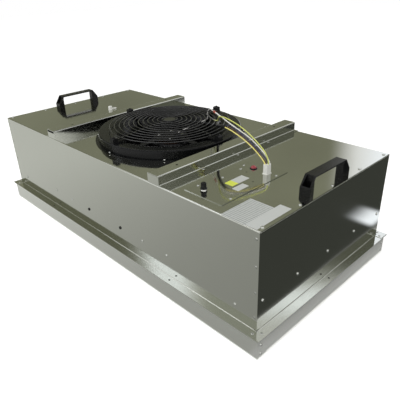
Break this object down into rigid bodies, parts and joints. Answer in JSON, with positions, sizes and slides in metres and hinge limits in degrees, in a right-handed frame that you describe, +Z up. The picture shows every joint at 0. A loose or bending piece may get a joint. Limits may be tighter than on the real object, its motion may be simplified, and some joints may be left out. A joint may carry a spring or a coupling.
{
  "type": "fan filter unit",
  "caption": "Ceiling fan filter unit: folded mirror steel housing with a guarded inlet, rails, handles and speed control, on an aluminium framed filter.",
  "frame": {"origin": "the middle of the footprint, on the underside of the filter frame", "axes": "+X along the length towards the speed control, +Y across the width, +Z up through the inlet"},
  "size_m": [1.175, 0.575, 0.4189],
  "materials": {
    "mirror_steel": "bright rolled stainless sheet",
    "rivet_steel": "plain rivet heads",
    "screw_steel": "bright screw heads",
    "black_screw": "blackened screws",
    "handle_plastic": "satin black moulding",
    "ring_plastic": "satin black moulding",
    "guard_paint": "satin black coating",
    "fan_aluminium": "bare sheet",
    "motor_paint": "dark paint",
    "machine_steel": "ground steel",
    "winding": "wound core",
    "grommet_rubber": "soft black",
    "galvanised_sheet": "zinc coated sheet",
    "frame_aluminium": "satin anodised",
    "gasket_foam": "closed foam",
    "grid_paint": "white coating",
    "filter_paper": "pleated glass fibre paper",
    "board": "coated circuit board",
    "black_plastic": "black moulding",
    "nut_nickel": "nickel plate",
    "red_lens": "clear red",
    "white_nylon": "natural nylon",
    "sleeve_black": "soft sleeve",
    "splice_red": "red crimp cover",
    "wire_white": "insulation",
    "wire_green": "insulation",
    "wire_navy": "insulation",
    "wire_yellow": "insulation",
    "wire_brown": "insulation"
  },
  "bodies": {
    "unit": {"top_cover": "mirror_steel", "end_panels": "mirror_steel", "corner_plates": "mirror_steel", "corner_rivets": "rivet_steel", "seam_rivets": "rivet_steel", "cover_screws": "screw_steel", "side_screws": "screw_steel", "side_plugs": "black_screw", "rails": "mirror_steel", "rail_rivets": "rivet_steel", "handle_right": "handle_plastic", "handle_left": "handle_plastic", "handle_screws": "black_screw", "inlet_ring": "ring_plastic", "ring_screws": "screw_steel", "motor_spider": "guard_paint", "fan_guard": "guard_paint", "guard_clips": "ring_plastic", "clip_screws": "black_screw", "motor_stator": "winding", "motor_bearings": "machine_steel", "motor_screws": "machine_steel", "lead_grommet": "grommet_rubber", "baffle_tray": "galvanised_sheet", "air_deflectors": "galvanised_sheet", "filter_bars_long": "frame_aluminium", "filter_bars_short": "frame_aluminium", "bar_screws": "screw_steel", "filter_gasket": "gasket_foam", "outlet_grid": "grid_paint", "inlet_grid": "grid_paint", "filter_medium": "filter_paper", "control_plate": "mirror_steel", "panel_screws": "screw_steel", "control_box": "galvanised_sheet", "driver_board": "board", "speed_pot": "black_plastic", "pot_nut": "nut_nickel", "lamp_bezel": "black_plastic", "lamp_lens": "red_lens", "motor_socket": "white_nylon", "motor_plug": "white_nylon", "test_port": "white_nylon", "port_cap": "white_nylon", "motor_sleeve": "sleeve_black", "wire_splice": "splice_red", "wire_white": "wire_white", "wire_green": "wire_green", "wire_navy": "wire_navy", "wire_yellow": "wire_yellow", "wire_brown": "wire_brown"},
    "fan_rotor": {"impeller": "fan_aluminium", "impeller_screws": "machine_steel", "motor_rotor": "motor_paint", "motor_shaft": "machine_steel"},
    "knob": {"speed_knob": "black_plastic", "pot_shaft": "machine_steel"}
  },
  "joints": [
    {"name": "impeller_spin", "type": "hinge", "parent": "unit", "child": "fan_rotor", "pos_m": [0.004, 0, 0.25], "axis": [0, 0, 1], "continuous": true},
    {"name": "speed_turn", "type": "hinge", "parent": "unit", "child": "knob", "pos_m": [0.3605, -0.21, 0.31], "axis": [0, 0, 1], "range_deg": [-150, 150]}
  ]
}
